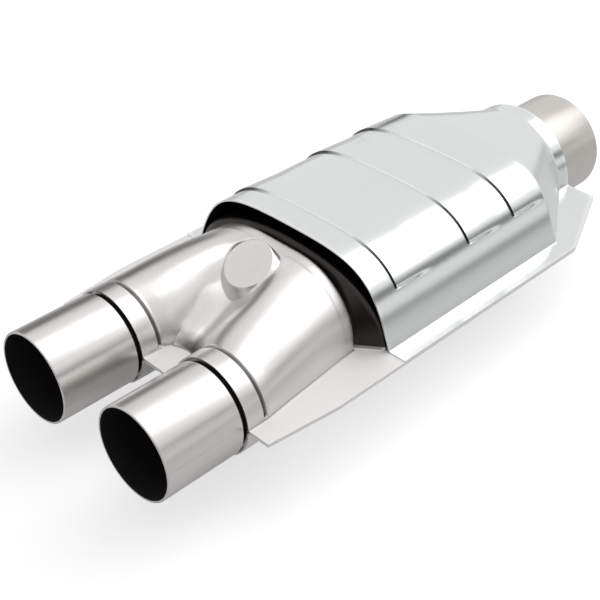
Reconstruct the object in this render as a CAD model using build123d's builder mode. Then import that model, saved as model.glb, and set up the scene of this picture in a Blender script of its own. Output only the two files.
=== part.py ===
"""Two-into-one catalytic converter: stamped twin-inlet can with two ceramic bricks and a ribbed heat shield.

Frame: X across the two inlets, Y along the gas flow, Z up. The origin is on the resting surface, below the
middle of the converter's length. Lengths are in millimetres. Places along Y are given as distances from
the inlet mouths, and heights as distances from the flange plane, in which all three pipe axes lie.
"""
import os
from math import cos, radians, sin

from build123d import *

# Sheet metal
can_sheet = 1.0
shield_sheet = 0.8
pipe_wall = 1.5

# Inlet pipes, side by side
inlet_diameter = 50.8
inlet_spacing = 77.5
inlet_stick_out = 47.7
inlet_grip = 9.5

# Outlet pipe
outlet_diameter = 63.5
outlet_stick_out = 43.0
outlet_grip = 24.0

# Ring groove rolled into each pipe where it enters its collar
pipe_groove_width = 3.4
pipe_groove_depth = 2.0
pipe_groove_flank = 1.0
pipe_groove_reveal = 1.8
pipe_edge_break = 0.3

# Stop bead pressed into each inlet collar, behind the pipe's end
bead_width = 1.8
bead_depth = 1.5
bead_clearance = 0.2
bead_run_out = 1.0

# Section behind the inlet collars, where the two branches meet, seen from the inlet's axis
crotch_setback = 6.0
crotch_reach = 25.25
crotch_crest_shift = 6.55
crotch_rise = 1.7

# Section in the saddle between the branches
saddle_setback = 30.0
saddle_half_width = 61.0
saddle_crest = 28.1
saddle_height = 35.7
saddle_overlap = 4.7

# Broad chamber where the branches end
chamber_length = 28.6
chamber_half_width = 57.5
chamber_height = 43.4
chamber_crest = 6.0
chamber_overlap = 48.0

# Round pad pressed up in the saddle, facing the inlets
pad_setback = 17.3
pad_drop = 8.8
pad_radius = 13.9
pad_tilt = 33.9
pad_depth = 14.0
pad_edge = 0.8

# Neck behind the chamber, pocket for the bricks, rear cone and outlet collar
neck_step = 2.0
neck_height = 31.0
neck_length = 0.8
shoulder_length = 10.9
pocket_half_width = 69.5
pocket_height = 37.5
cone_length = 39.0
outlet_collar_length = 20.0

# Ceramic bricks, their mats and the mats' mesh seals
mat_thickness = 4.5
brick_length = 60.0
brick_gap = 12.0
brick_end_clearance = 4.75
seal_width = 6.0
channel_pitch = 10.0
channel_size = 8.2
channel_margin = 1.5

# Flange of the two shells, seen from above, one side
flange_half_width = 83.0
flange_front_draw = 4.6
flange_front_taper = 42.3
flange_rear_draw = 24.6
flange_rear_taper = 54.0

# Heat shield over the can
shield_setback = 0.5
shield_side_gap = 3.5
shield_top_gap = 7.8
shield_foot_lean = 13.5
shield_taper_setback = 1.0
shield_collar_gap = 6.95
shield_collar_length = 10.0

# Louvre-like ribs across the shield: a step up at the front, running out to nothing behind
rib_setbacks = (16.0, 74.0, 113.0)
rib_rise = 1.8
rib_run = 27.0
rib_foot_height = 27.0
rib_run_out = 0.3

# Fullness of the curves: how far each quarter of a section bulges towards its corner
branch_fullness = 0.5523
chamber_side_fullness, chamber_top_fullness = 0.70, 0.885
oval_side_fullness, oval_top_fullness = 0.56, 0.66
shield_side_fullness, shield_top_fullness = 0.93, 0.655

# Worked out across the flow
inlet_radius = inlet_diameter / 2
outlet_radius = outlet_diameter / 2
inlet_offset = inlet_spacing / 2
crotch_height = inlet_radius + can_sheet + crotch_rise
flange_plane = chamber_height
lining = can_sheet + mat_thickness
shield_half_width = pocket_half_width + shield_side_gap
shield_height = pocket_height + shield_top_gap
shield_collar_radius = outlet_radius + can_sheet + shield_collar_gap

# Worked out along the flow, from the inlet mouths
inlet_pipe_length = inlet_stick_out + inlet_grip
bead_at = inlet_pipe_length + can_sheet + bead_width / 2
branch_start = bead_at + bead_width / 2 + can_sheet + bead_run_out
crotch_at = branch_start + crotch_setback
saddle_at = crotch_at + saddle_setback
chamber_end = saddle_at + chamber_length
pocket_start = chamber_end + shoulder_length
front_brick_at = pocket_start + brick_end_clearance
rear_brick_at = front_brick_at + brick_length + brick_gap
pocket_end = rear_brick_at + brick_length + brick_end_clearance
cone_end = pocket_end + cone_length
rear_end = cone_end + outlet_collar_length
overall_length = rear_end + outlet_stick_out
shield_front = pocket_start + shield_setback
shield_taper_start = pocket_end + shield_taper_setback
shield_collar_start = rear_end - shield_collar_length

os.makedirs("parts", exist_ok=True)


def along(distance):
    """Y of a place that lies this far behind the inlet mouths."""
    return distance - overall_length / 2


def cross_plane(distance):
    """Plane across the flow at this distance, its origin in the flange plane, x along X and y up."""
    return Plane(origin=(0, along(distance), flange_plane), x_dir=(1, 0, 0), z_dir=(0, -1, 0))


def level_plane(height):
    """Horizontal plane at this height above the flange plane."""
    return Plane.XY.offset(flange_plane + height)


def arch(distance, outer, crest, height, inner, side=branch_fullness, top=branch_fullness, lean=0.0):
    """Upper half of a section: from the outer foot over the crest to the inner foot."""
    with BuildSketch(cross_plane(distance)) as section:
        with BuildLine():
            Bezier(
                (outer, 0),
                (outer - lean, side * height),
                (crest + top * (outer - crest), height),
                (crest, height),
            )
            Bezier(
                (crest, height),
                (crest + top * (inner - crest), height),
                (inner + lean, side * height),
                (inner, 0),
            )
            Line((inner, 0), (outer, 0))
        make_face()
    return section.sketch


def round_arch(distance, radius, offset=0.0):
    """Upper half of a round section, in two quarters like the other arches."""
    with BuildSketch(cross_plane(distance)) as section:
        with BuildLine():
            CenterArc((offset, 0), radius, 0, 90)
            CenterArc((offset, 0), radius, 90, 90)
            Line((offset - radius, 0), (offset + radius, 0))
        make_face()
    return section.sketch


def chamber_arch(distance, half_width, height):
    """Upper half of the broad section where the branches end."""
    return arch(
        distance, half_width, 0, height, -half_width, chamber_side_fullness, chamber_top_fullness
    )


def oval_arch(distance, inset=0.0):
    """Upper half of the brick pocket's oval section, drawn in by the inset."""
    half_width = pocket_half_width - inset
    height = pocket_height - inset
    return arch(distance, half_width, 0, height, -half_width, oval_side_fullness, oval_top_fullness)


def shield_arch(distance, rise=0.0):
    """Upper half of the shield's outer section, raised by this much all round."""
    half_width = shield_half_width + rise
    height = shield_height + rise
    return arch(
        distance,
        half_width,
        0,
        height,
        -half_width,
        shield_side_fullness,
        shield_top_fullness,
        shield_foot_lean,
    )


def branch(inset):
    """Right-hand branch from its collar to the chamber's end, drawn in by the inset."""
    collar_radius = inlet_radius + can_sheet - inset
    with BuildPart() as body:
        loft(
            sections=[
                round_arch(inlet_stick_out, collar_radius, inlet_offset),
                round_arch(branch_start, collar_radius, inlet_offset),
                arch(
                    crotch_at,
                    inlet_offset + crotch_reach - inset,
                    inlet_offset - crotch_crest_shift,
                    crotch_height - inset,
                    inset,
                ),
                arch(
                    saddle_at,
                    saddle_half_width - inset,
                    saddle_crest,
                    saddle_height - inset,
                    inset - saddle_overlap,
                ),
                arch(
                    chamber_end - inset,
                    chamber_half_width - inset,
                    chamber_crest,
                    chamber_height - inset,
                    inset - chamber_overlap,
                    chamber_side_fullness,
                    chamber_top_fullness,
                ),
            ],
            ruled=True,
        )
    return body.part


def rear_body(inset):
    """Neck, brick pocket, rear cone and outlet collar, drawn in by the inset."""
    collar_radius = outlet_radius + can_sheet - inset
    neck_half_width = chamber_half_width - neck_step
    with BuildPart() as body:
        loft(
            sections=[
                chamber_arch(chamber_end - 2 * inset, neck_half_width - inset, neck_height - inset),
                chamber_arch(chamber_end + neck_length, neck_half_width - inset, neck_height - inset),
                oval_arch(pocket_start, inset),
                oval_arch(pocket_end, inset),
                round_arch(cone_end, collar_radius),
                round_arch(rear_end, collar_radius),
            ],
            ruled=True,
        )
    return body.part


def inlet_rings(outer_radius, inner_radius, width):
    """Half rings round both inlet axes, over the stop beads and clear of the flange."""
    with BuildPart() as rings:
        with BuildSketch(cross_plane(bead_at + width / 2)):
            with Locations((inlet_offset, 0), (-inlet_offset, 0)):
                Circle(outer_radius)
                Circle(inner_radius, mode=Mode.SUBTRACT)
        extrude(amount=width)
        split(bisect_by=level_plane(can_sheet), keep=Keep.TOP)
    return rings.part


def flange_plate(bottom, thickness):
    """Flat plate with the flange's outline, its underside at this height."""
    front_half_width = flange_half_width - flange_front_draw
    rear_half_width = flange_half_width - flange_rear_draw
    with BuildPart() as plate:
        with BuildSketch(level_plane(bottom)):
            with BuildLine():
                outline = Polyline(
                    (0, along(inlet_stick_out)),
                    (front_half_width, along(inlet_stick_out)),
                    (flange_half_width, along(inlet_stick_out + flange_front_taper)),
                    (flange_half_width, along(rear_end - flange_rear_taper)),
                    (rear_half_width, along(rear_end)),
                    (0, along(rear_end)),
                )
                mirror(outline, about=Plane.YZ)
            make_face()
        extrude(amount=thickness)
    return plate.part


def pad(inset):
    """Round pad under its tilted face, drawn in by the inset."""
    tilt = radians(pad_tilt)
    face_plane = Plane(
        origin=(0, along(chamber_end - pad_setback), flange_plane + chamber_height - pad_drop),
        x_dir=(1, 0, 0),
        z_dir=(0, -sin(tilt), cos(tilt)),
    )
    with BuildPart() as body:
        with BuildSketch(face_plane.offset(-inset)):
            Circle(pad_radius - inset)
        extrude(amount=-pad_depth)
        if inset == 0:
            face_axis = Axis(face_plane.origin, face_plane.z_dir)
            fillet(body.faces().sort_by(face_axis)[-1].edges(), radius=pad_edge)
    return body.part


def can_half(with_pad):
    """One pressed half of the can: the flange, the hollow body and the stop beads in its collars."""
    collar_radius = inlet_radius + can_sheet
    with BuildPart() as half:
        add(flange_plate(0, can_sheet))
        for inset, mode in ((0.0, Mode.ADD), (can_sheet, Mode.SUBTRACT)):
            add(branch(inset), mode=mode)
            add(branch(inset).mirror(Plane.YZ), mode=mode)
            add(rear_body(inset), mode=mode)
            if with_pad:
                add(pad(inset), mode=mode)
        add(inlet_rings(collar_radius, inlet_radius - bead_depth, bead_width + 2 * can_sheet))
        add(
            inlet_rings(collar_radius + bead_clearance, collar_radius - bead_depth, bead_width),
            mode=Mode.SUBTRACT,
        )
    return half.part


def stub_pipe(diameter, stick_out, grip, offset, mouth_at, inward):
    """Pipe stub from its mouth into its collar, with a ring groove rolled in where it enters."""
    radius = diameter / 2
    length = stick_out + grip
    axis_plane = Plane(origin=(offset, along(mouth_at), flange_plane), x_dir=(0, inward, 0), z_dir=(0, 0, 1))
    groove_start = stick_out - pipe_groove_reveal
    groove_end = groove_start + pipe_groove_width
    stations = (
        (0, 0),
        (groove_start - pipe_groove_flank, 0),
        (groove_start, pipe_groove_depth),
        (groove_end, pipe_groove_depth),
        (groove_end + pipe_groove_flank, 0),
        (length, 0),
    )
    outside = [(place, radius - drop) for place, drop in stations]
    inside = [(place, outer_radius - pipe_wall) for place, outer_radius in reversed(outside)]
    with BuildPart() as pipe:
        with BuildSketch(axis_plane):
            with BuildLine():
                Polyline(*outside, *inside, close=True)
            make_face()
        revolve(axis=Axis((offset, 0, flange_plane), (0, 1, 0)))
        mouth = pipe.faces().sort_by(Axis.Y, reverse=inward < 0)[0]
        chamfer(mouth.edges(), length=pipe_edge_break)
    return pipe.part


def inlet_pipe(offset):
    """Inlet pipe this far to the right of the middle."""
    return stub_pipe(inlet_diameter, inlet_stick_out, inlet_grip, offset, 0, 1)


def oval_block(start, length, inset):
    """Solid bar with the pocket's full oval section, drawn in by the inset."""
    with BuildPart() as block:
        half = oval_arch(start + length, inset)
        extrude(half, amount=length)
        mirror(about=level_plane(0))
    return block.part


def channel_places():
    """Middles of the brick's channels that lie wholly inside its oval."""
    half_width = pocket_half_width - lining - channel_margin
    height = pocket_height - lining - channel_margin
    columns = int(half_width // channel_pitch)
    rows = int(height // channel_pitch)
    places = []
    for column in range(-columns, columns + 1):
        for row in range(-rows, rows + 1):
            corner_x = abs(column) * channel_pitch + channel_size / 2
            corner_z = abs(row) * channel_pitch + channel_size / 2
            if (corner_x / half_width) ** 2 + (corner_z / height) ** 2 <= 1:
                places.append((column * channel_pitch, row * channel_pitch))
    return places


def brick(start):
    """Ceramic brick with straight square channels along the flow."""
    with BuildPart() as block:
        add(oval_block(start, brick_length, lining))
        with BuildSketch(cross_plane(start + brick_length)):
            with Locations(*channel_places()):
                Rectangle(channel_size, channel_size)
        extrude(amount=brick_length, mode=Mode.SUBTRACT)
    return block.part


def lining_ring(start, length):
    """Sleeve that fills the space between a brick and the pocket."""
    with BuildPart() as ring:
        add(oval_block(start, length, can_sheet))
        add(oval_block(start, length, lining), mode=Mode.SUBTRACT)
    return ring.part


def shield_body(inset):
    """Shield's dome, rear taper, outlet collar and ribs, drawn in by the inset."""
    collar_radius = shield_collar_radius - inset
    with BuildPart() as body:
        loft(
            sections=[
                shield_arch(shield_front, -inset),
                shield_arch(shield_taper_start, -inset),
                round_arch(shield_collar_start, collar_radius),
                round_arch(rear_end, collar_radius),
            ],
            ruled=True,
        )
        for setback in rib_setbacks:
            place = shield_front + setback
            with BuildPart(mode=Mode.PRIVATE) as rib:
                loft(
                    sections=[
                        shield_arch(place + inset, rib_rise - inset),
                        shield_arch(place + rib_run, -rib_run_out - inset),
                    ],
                    ruled=True,
                )
                split(bisect_by=level_plane(rib_foot_height + inset), keep=Keep.TOP)
            add(rib.part)
    return body.part


with BuildPart() as upper_shell:
    add(can_half(with_pad=True))
upper_shell.part.label = "upper_shell"

with BuildPart() as lower_shell:
    mirror(can_half(with_pad=False), about=level_plane(0))
lower_shell.part.label = "lower_shell"

with BuildPart() as inlet_pipe_right:
    add(inlet_pipe(inlet_offset))
inlet_pipe_right.part.label = "inlet_pipe_right"

with BuildPart() as inlet_pipe_left:
    add(inlet_pipe(-inlet_offset))
inlet_pipe_left.part.label = "inlet_pipe_left"

with BuildPart() as outlet_pipe:
    add(stub_pipe(outlet_diameter, outlet_stick_out, outlet_grip, 0, overall_length, -1))
outlet_pipe.part.label = "outlet_pipe"

with BuildPart() as heat_shield:
    add(flange_plate(can_sheet, shield_sheet))
    split(bisect_by=cross_plane(shield_front), keep=Keep.BOTTOM)
    add(shield_body(0.0))
    add(shield_body(shield_sheet), mode=Mode.SUBTRACT)
    split(bisect_by=level_plane(can_sheet), keep=Keep.TOP)
heat_shield.part.label = "heat_shield"

pieces = [upper_shell, lower_shell, inlet_pipe_right, inlet_pipe_left, outlet_pipe, heat_shield]

for name, start in (("front", front_brick_at), ("rear", rear_brick_at)):
    with BuildPart() as brick_part:
        add(brick(start))
    brick_part.part.label = f"{name}_brick"
    with BuildPart() as mat_part:
        add(lining_ring(start + seal_width, brick_length - 2 * seal_width))
    mat_part.part.label = f"{name}_mat"
    pieces += [brick_part, mat_part]
    for end, place in (("inlet", start), ("outlet", start + brick_length - seal_width)):
        with BuildPart() as seal_part:
            add(lining_ring(place, seal_width))
        seal_part.part.label = f"{name}_mat_seal_{end}"
        pieces.append(seal_part)

for piece in pieces:
    export_step(piece.part, f"parts/{piece.part.label}.step")
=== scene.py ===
"""Finish of a two-into-one catalytic converter, laid out as an add-on and run as a script.

Lengths are in metres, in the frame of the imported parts: X across the two inlets, Y along the gas flow, Z up.
Distances along the flow are taken from the inlet mouths, and heights from the flange plane.
"""
import math

import bmesh
import bpy
import numpy as np
from bpy.props import FloatProperty, FloatVectorProperty, IntProperty, PointerProperty
from mathutils import Matrix, Vector
from mathutils.bvhtree import BVHTree


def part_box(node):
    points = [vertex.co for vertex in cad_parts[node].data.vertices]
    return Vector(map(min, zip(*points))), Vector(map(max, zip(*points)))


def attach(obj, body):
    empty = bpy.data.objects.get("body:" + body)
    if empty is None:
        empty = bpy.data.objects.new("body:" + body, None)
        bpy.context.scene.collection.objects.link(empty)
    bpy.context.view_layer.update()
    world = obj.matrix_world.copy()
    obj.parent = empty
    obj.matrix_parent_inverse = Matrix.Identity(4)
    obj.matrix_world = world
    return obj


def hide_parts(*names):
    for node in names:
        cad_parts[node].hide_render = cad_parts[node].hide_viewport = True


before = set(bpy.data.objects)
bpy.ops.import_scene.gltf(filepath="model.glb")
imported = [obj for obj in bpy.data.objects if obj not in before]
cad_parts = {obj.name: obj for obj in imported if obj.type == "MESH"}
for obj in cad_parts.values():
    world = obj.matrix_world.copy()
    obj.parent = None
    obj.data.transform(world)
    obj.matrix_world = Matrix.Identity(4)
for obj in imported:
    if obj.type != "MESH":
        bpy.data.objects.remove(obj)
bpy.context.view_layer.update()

bl_info = {
    "name": "Catalytic Converter Finish",
    "version": (1, 0, 0),
    "blender": (4, 5, 0),
    "location": "View3D > Sidebar > Converter",
    "description": "Presses the sheet metal of a twin-inlet catalytic converter and gives it its finish",
    "category": "Object",
}

MM = 0.001

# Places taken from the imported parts
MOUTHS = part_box("inlet_pipe_right")[0].y
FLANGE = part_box("lower_shell")[1].z
COLLAR_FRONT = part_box("upper_shell")[0].y - MOUTHS
CAN_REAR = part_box("upper_shell")[1].y - MOUTHS
CHAMBER_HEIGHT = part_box("upper_shell")[1].z - FLANGE
INLET_OFFSET = (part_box("inlet_pipe_right")[0].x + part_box("inlet_pipe_right")[1].x) / 2
INLET_RADIUS = (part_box("inlet_pipe_right")[1].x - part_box("inlet_pipe_right")[0].x) / 2
INLET_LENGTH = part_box("inlet_pipe_right")[1].y - MOUTHS
OUTLET_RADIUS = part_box("outlet_pipe")[1].x
OUTLET_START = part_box("outlet_pipe")[0].y - MOUTHS
OUTLET_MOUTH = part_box("outlet_pipe")[1].y - MOUTHS
SHIELD_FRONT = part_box("heat_shield")[0].y - MOUTHS
FLANGE_HALF_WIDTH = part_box("upper_shell")[1].x

# Points on a fine curve before it is spread evenly
CURVE_POINTS = 97


class CanSizes(bpy.types.PropertyGroup):
    """Sizes of the two pressed halves of the can."""

    sheet: FloatProperty(
        name="Sheet", description="Thickness of the can's sheet", default=1.0 * MM, unit="LENGTH"
    )
    root_radius: FloatProperty(
        name="Root radius",
        description="Fillet where the body rises from the flange",
        default=1.6 * MM,
        unit="LENGTH",
    )
    bead_at: FloatProperty(
        name="Bead place",
        description="Distance of the stop bead's middle from the inlet mouths",
        default=59.1 * MM,
        unit="LENGTH",
    )
    bead_width: FloatProperty(
        name="Bead width", description="Width of the stop bead", default=1.9 * MM, unit="LENGTH"
    )
    bead_depth: FloatProperty(
        name="Bead depth", description="Depth of the stop bead", default=1.6 * MM, unit="LENGTH"
    )
    pad_radius: FloatProperty(
        name="Pad radius",
        description="Radius of the round pad in the saddle",
        default=13.9 * MM,
        unit="LENGTH",
    )
    pad_tilt: FloatProperty(
        name="Pad tilt",
        description="Angle by which the pad's face leans towards the inlets",
        default=math.radians(33.9),
        unit="ROTATION",
    )
    columns: IntProperty(
        name="Columns", description="Points across one half of the body", default=104, min=24
    )


class ShieldSizes(bpy.types.PropertyGroup):
    """Sizes of the heat shield."""

    sheet: FloatProperty(
        name="Sheet", description="Thickness of the shield's sheet", default=0.8 * MM, unit="LENGTH"
    )
    half_width: FloatProperty(
        name="Half width", description="Half width at the feet", default=73.0 * MM, unit="LENGTH"
    )
    height: FloatProperty(
        name="Height",
        description="Height of the flat top above the flange plane",
        default=45.3 * MM,
        unit="LENGTH",
    )
    foot_lean: FloatProperty(
        name="Foot lean", description="How far the feet lean out", default=13.5 * MM, unit="LENGTH"
    )
    root_radius: FloatProperty(
        name="Root radius",
        description="Fillet where the shield rises from its flange",
        default=1.3 * MM,
        unit="LENGTH",
    )
    collar_radius: FloatProperty(
        name="Collar radius",
        description="Radius of the collar round the outlet",
        default=39.7 * MM,
        unit="LENGTH",
    )
    rib_rise: FloatProperty(
        name="Rib rise", description="Height of a rib's step", default=1.1 * MM, unit="LENGTH"
    )
    rib_run: FloatProperty(
        name="Rib run",
        description="Length over which a rib runs out to nothing",
        default=27.0 * MM,
        unit="LENGTH",
    )
    rib_foot: FloatProperty(
        name="Rib foot",
        description="Height at which a rib ends on the shoulder",
        default=27.0 * MM,
        unit="LENGTH",
    )
    columns: IntProperty(
        name="Columns", description="Points across one half of the dome", default=96, min=24
    )


class PipeSizes(bpy.types.PropertyGroup):
    """Sizes of the three pipe stubs."""

    wall: FloatProperty(
        name="Wall", description="Thickness of the pipe's wall", default=1.5 * MM, unit="LENGTH"
    )
    lip: FloatProperty(
        name="Lip", description="Rounding of the cut end", default=0.35 * MM, unit="LENGTH"
    )
    groove_width: FloatProperty(
        name="Groove width", description="Width of the ring groove", default=3.4 * MM, unit="LENGTH"
    )
    groove_depth: FloatProperty(
        name="Groove depth", description="Depth of the ring groove", default=2.0 * MM, unit="LENGTH"
    )
    groove_flank: FloatProperty(
        name="Groove flank",
        description="Length of the groove's sloping side",
        default=0.5 * MM,
        unit="LENGTH",
    )
    groove_reveal: FloatProperty(
        name="Groove reveal",
        description="How much of the groove shows in front of the collar",
        default=1.8 * MM,
        unit="LENGTH",
    )
    steps: IntProperty(name="Steps", description="Faces round the pipe", default=128, min=24)


class Finishes(bpy.types.PropertyGroup):
    """Colours of the finishes."""

    can: FloatVectorProperty(
        name="Can", description="Pressed stainless sheet", default=(0.67, 0.655, 0.64), subtype="COLOR"
    )
    pipe: FloatVectorProperty(
        name="Pipe", description="Brushed stainless tube", default=(0.66, 0.645, 0.63), subtype="COLOR"
    )
    shield: FloatVectorProperty(
        name="Shield",
        description="Bright aluminised sheet",
        default=(0.685, 0.71, 0.705),
        subtype="COLOR",
    )
    # Near-black colour painted as shade: on the inner sides of the sheets and pipes, in the pipes' ring
    # grooves and, lifted a little, on the can's wall under the shield
    painted_shade: FloatVectorProperty(
        name="Painted shade",
        description="Steel inside and under the shield",
        default=(0.005, 0.0047, 0.0043),
        subtype="COLOR",
    )
    ceramic: FloatVectorProperty(
        name="Ceramic", description="Coated honeycomb brick", default=(0.30, 0.26, 0.20), subtype="COLOR"
    )
    mat: FloatVectorProperty(
        name="Mat", description="Fibre mat round a brick", default=(0.72, 0.69, 0.62), subtype="COLOR"
    )
    wire: FloatVectorProperty(
        name="Wire", description="Knitted wire seal", default=(0.42, 0.41, 0.40), subtype="COLOR"
    )
    floor: FloatVectorProperty(
        name="Floor", description="Pale studio floor", default=(0.60, 0.60, 0.60), subtype="COLOR"
    )


# Small helpers


def clear_selection():
    """Nothing is selected, so the next operator acts on its own piece alone."""
    bpy.ops.object.select_all(action="DESELECT")


def pick(piece):
    """Makes this piece the only one selected, and the active one."""
    clear_selection()
    piece.select_set(True)
    bpy.context.view_layer.objects.active = piece


def apply_modifier(piece, kind, name, **settings):
    """Adds a modifier of this kind, sets it up and applies it."""
    pick(piece)
    bpy.ops.object.modifier_add(type=kind)
    modifier = piece.modifiers[-1]
    modifier.name = name
    for key, value in settings.items():
        setattr(modifier, key, value)
    bpy.ops.object.modifier_apply(modifier=modifier.name)


def smooth_by_angle(piece, degrees=35.0):
    """Smooth shading, with the edges sharper than this angle kept crisp."""
    pick(piece)
    bpy.ops.object.shade_smooth_by_angle(angle=math.radians(degrees))


def stand_for(piece, node):
    """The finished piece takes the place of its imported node."""
    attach(piece, "root")
    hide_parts(node)


def smooth_step(value):
    """Rises smoothly from 0 to 1 as the value does."""
    value = np.clip(value, 0.0, 1.0)
    return value * value * (3 - 2 * value)


def mm(*lengths):
    """These lengths in millimetres, as metres."""
    return tuple(length * MM for length in lengths)


# Curves of the sections, in the plane across the flow: x to the right, z up from the flange plane


def curve(start, start_pull, end_pull, end):
    """Points along the cubic curve between two ends, pulled towards two corners."""
    t = np.linspace(0, 1, CURVE_POINTS)[:, None]
    a, b, c, d = (np.array(point, float) for point in (start, start_pull, end_pull, end))
    return a * (1 - t) ** 3 + 3 * b * t * (1 - t) ** 2 + 3 * c * t**2 * (1 - t) + d * t**3


def spread(path, count):
    """The same path with this many points, spaced evenly along it."""
    run = np.concatenate(([0.0], np.cumsum(np.linalg.norm(np.diff(path, axis=0), axis=1))))
    stops = np.linspace(0, run[-1], count)
    return np.column_stack([np.interp(stops, run, path[:, axis]) for axis in (0, 1)])


def rounded(stations, distance, reach):
    """Values at this distance from a table of stations, with its corners rounded over this reach."""
    places = distance + np.linspace(-reach, reach, 17)
    table = np.array(stations)
    return [np.interp(places, table[:, 0], table[:, k]).mean() for k in range(1, table.shape[1])]


def root_fillet(wall, level, radius, outward):
    """Cuts the wall, given from its top to its foot, above the level and rounds it into the flange."""
    heights = wall[::-1, 1]
    corner_x = np.interp(level, heights, wall[::-1, 0])
    start_x = np.interp(level + radius, heights, wall[::-1, 0])
    kept = wall[wall[:, 1] > level + radius]
    t = np.linspace(0, 1, 7)[:, None]
    start = np.array((start_x, level + radius))
    corner = np.array((corner_x, level))
    end = np.array((corner_x + outward * radius, level))
    fillet = start * (1 - t) ** 2 + 2 * corner * t * (1 - t) + end * t**2
    return kept, fillet


# Flange outline, seen from above

FLANGE_FRONT_DRAW = 4.6 * MM
FLANGE_FRONT_TAPER = 42.3 * MM
FLANGE_REAR_DRAW = 24.6 * MM
FLANGE_REAR_TAPER = 54.0 * MM
FLANGE_POINTS = 4


def flange_edge(distance):
    """Half width of the flange at this distance."""
    return np.interp(
        distance,
        (COLLAR_FRONT, COLLAR_FRONT + FLANGE_FRONT_TAPER, CAN_REAR - FLANGE_REAR_TAPER, CAN_REAR),
        (
            FLANGE_HALF_WIDTH - FLANGE_FRONT_DRAW,
            FLANGE_HALF_WIDTH,
            FLANGE_HALF_WIDTH,
            FLANGE_HALF_WIDTH - FLANGE_REAR_DRAW,
        ),
    )


def flange_points(foot_x, level, distance):
    """Points on the flange from the body's foot to its edge."""
    xs = np.linspace(foot_x, flange_edge(distance), FLANGE_POINTS + 1)[1:]
    return np.column_stack((xs, np.full(FLANGE_POINTS, level)))


def press_blank(name, rows, distances):
    """A flat blank, one row of points for each distance, pressed to the rows and mirrored."""
    clear_selection()
    columns = len(rows[0])
    bpy.ops.mesh.primitive_grid_add(
        x_subdivisions=columns - 1, y_subdivisions=len(rows) - 1, size=1, location=(0, 0, 0)
    )
    blank = bpy.context.active_object
    blank.name = blank.data.name = name
    flat = np.empty(len(blank.data.vertices) * 3)
    blank.data.vertices.foreach_get("co", flat)
    flat = flat.reshape(-1, 3)
    column = np.rint((flat[:, 0] + 0.5) * (columns - 1)).astype(int)
    row = np.rint((flat[:, 1] + 0.5) * (len(rows) - 1)).astype(int)
    sections = np.array(rows)[row, column]
    places = np.broadcast_to(np.reshape(distances, (len(rows), -1)), (len(rows), columns))
    pressed = np.column_stack(
        (sections[:, 0], places[row, column] + MOUTHS, sections[:, 1] + FLANGE)
    )
    blank.data.vertices.foreach_set("co", pressed.ravel())
    blank.data.update()
    apply_modifier(blank, "MIRROR", "other half", use_clip=True, merge_threshold=0.01 * MM)
    return blank


# Body of the can

BRANCH_FULLNESS = 0.5523
COLLAR_END = 61.5 * MM
CROTCH_AT = 67.5 * MM
POCKET_START = 137.5 * MM
POCKET_END = 279.0 * MM
CONE_END = 318.0 * MM

# Where each half's chamber ends, how high it is there, how far its rear edge leans back from foot to top,
# and over what length ahead of the edge the lean sets in
CHAMBER_ENDS = {"upper": 132.0 * MM, "lower": 126.6 * MM}
CHAMBER_TOPS = {"upper": 38.1 * MM, "lower": CHAMBER_HEIGHT}
EDGE_LEANS = {"upper": 5.0 * MM, "lower": 0.0}
LEAN_RUN = 20.0 * MM
NECK_STEP = 0.5 * MM

# Length over which the body's corners are rounded: growing behind the collars, in the neck and in the pocket
ROUNDING_GROWTH = 0.7
ROUNDING_LEAST = 0.2 * MM
ROUNDING_MOST = 7.0 * MM
NECK_ROUNDING = 0.3 * MM
POCKET_ROUNDING = 1.5 * MM

# Trough between the branches: distance, height of its bottom, rise to its edges and their place
TROUGH_FRONT = (
    mm(56.0, -14.0, 3.0, 8.5),
    mm(66.6, 0.0, 3.0, 8.5),
    mm(67.5, 1.6, 3.2, 8.6),
    mm(68.5, 3.2, 3.4, 8.8),
    mm(70.0, 4.3, 4.6, 9.0),
    mm(72.3, 5.1, 6.2, 9.3),
    mm(79.9, 8.3, 7.8, 10.2),
    mm(89.8, 13.9, 8.0, 11.4),
    mm(98.2, 19.2, 5.6, 12.0),
    mm(104.0, 22.8, 5.0, 12.0),
)
TROUGHS = {
    "upper": (
        *TROUGH_FRONT,
        mm(110.0, 28.5, 4.0, 12.0),
        mm(116.0, 33.8, 2.2, 13.0),
        mm(121.0, 36.8, 0.8, 14.0),
        mm(126.0, 37.8, 0.2, 14.0),
        (CHAMBER_ENDS["upper"], CHAMBER_TOPS["upper"], 0.0, 12.0 * MM),
    ),
    "lower": (
        *TROUGH_FRONT,
        mm(110.0, 27.5, 4.2, 12.0),
        mm(116.0, 34.5, 2.0, 12.0),
        mm(121.0, 39.5, 0.9, 12.0),
        (CHAMBER_ENDS["lower"], CHAMBER_TOPS["lower"], 0.0, 12.0 * MM),
    ),
}
TROUGH_SLOPE = 0.85
TROUGH_BOTTOM = 2.5 * MM
TROUGH_EDGE_RUN = 0.5 * MM
TROUGH_ROUNDING = (mm(75, 112), mm(0.6, 3.0))

# Width of the blend from the trough to the branches' walls along the can, and its fade below the crest
SADDLE_BLEND = (mm(95, 112, 117, 127), mm(0.8, 3.0, 3.0, 0.3))
CREST_FADE = 5.0 * MM
SADDLE_POINTS = 160


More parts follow.
